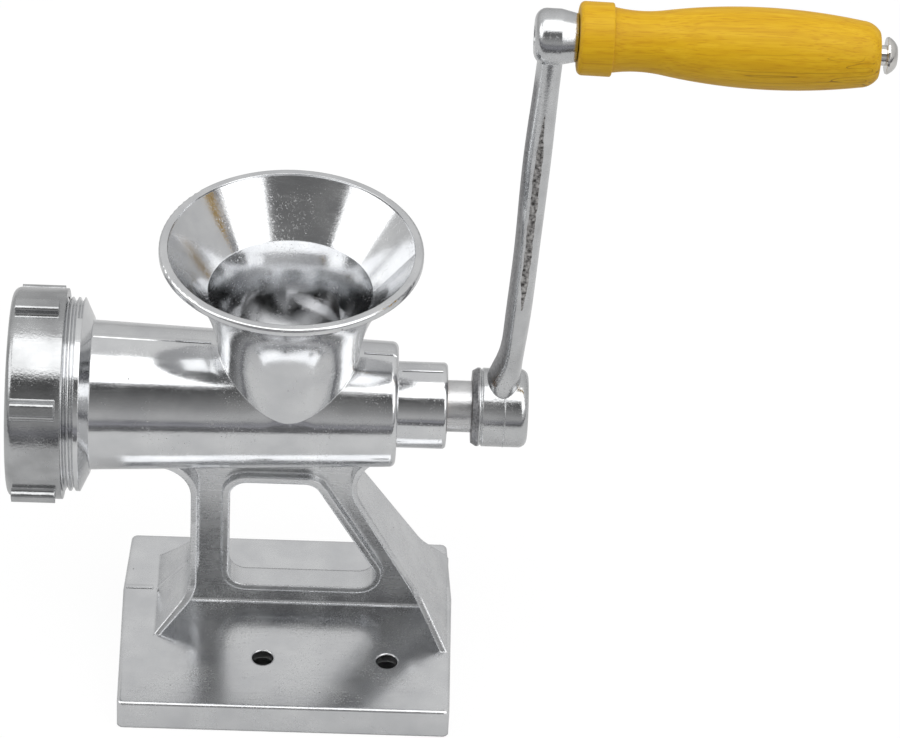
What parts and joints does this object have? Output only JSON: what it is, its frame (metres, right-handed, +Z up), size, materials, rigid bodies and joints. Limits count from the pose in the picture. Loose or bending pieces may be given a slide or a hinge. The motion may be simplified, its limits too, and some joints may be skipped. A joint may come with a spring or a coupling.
{
  "type": "hand crank meat grinder",
  "caption": "Table-standing hand crank meat grinder with a flared hopper, screw barrel, ribbed ring nut, drilled cutting plate, crank arm and turned wooden grip.",
  "frame": {"origin": "on the table under the barrel, on the rib under the stand at the middle of the base's length", "axes": "+X along the barrel towards the crank, +Y to the back of the base, +Z up"},
  "size_m": [0.2597, 0.0911, 0.2432],
  "materials": {
    "cast_aluminium": "polished casting",
    "tool_steel": "ground",
    "bronze_bush": "plain sintered bush",
    "plated_pin": "plated",
    "lacquered_wood": "yellow lacquer"
  },
  "bodies": {
    "stand": {"body_casting": "cast_aluminium", "rear_bush": "bronze_bush", "thrust_washer": "tool_steel", "plate_key_pin": "tool_steel"},
    "rotor": {"auger": "cast_aluminium", "knife_stud": "tool_steel", "cross_knife": "tool_steel", "crank_arm": "cast_aluminium", "crank_washer": "tool_steel", "crank_screw": "tool_steel", "handle_pin": "plated_pin"},
    "grip": {"handle_grip": "lacquered_wood"},
    "plate": {"hole_plate": "tool_steel"},
    "nut": {"ring_nut": "cast_aluminium"}
  },
  "joints": [
    {"name": "crank_turn", "type": "hinge", "parent": "stand", "child": "rotor", "pos_m": [0, 0, 0.0926], "axis": [1, 0, 0], "continuous": true},
    {"name": "grip_spin", "type": "hinge", "parent": "rotor", "child": "grip", "pos_m": [0.067, 0, 0.2328], "axis": [0.9996, 0, -0.0279], "continuous": true},
    {"name": "plate_slide", "type": "slide", "parent": "stand", "child": "plate", "axis": [-1, 0, 0], "range_m": [0, 0.01]},
    {"name": "nut_turn", "type": "hinge", "parent": "plate", "child": "nut", "pos_m": [0, 0, 0.0926], "axis": [-1, 0, 0], "range_deg": [0, 1800]}
  ],
  "couplings": [
    {"joint": "plate_slide", "follows": "nut_turn", "m_per_rad": 0.00031831}
  ]
}
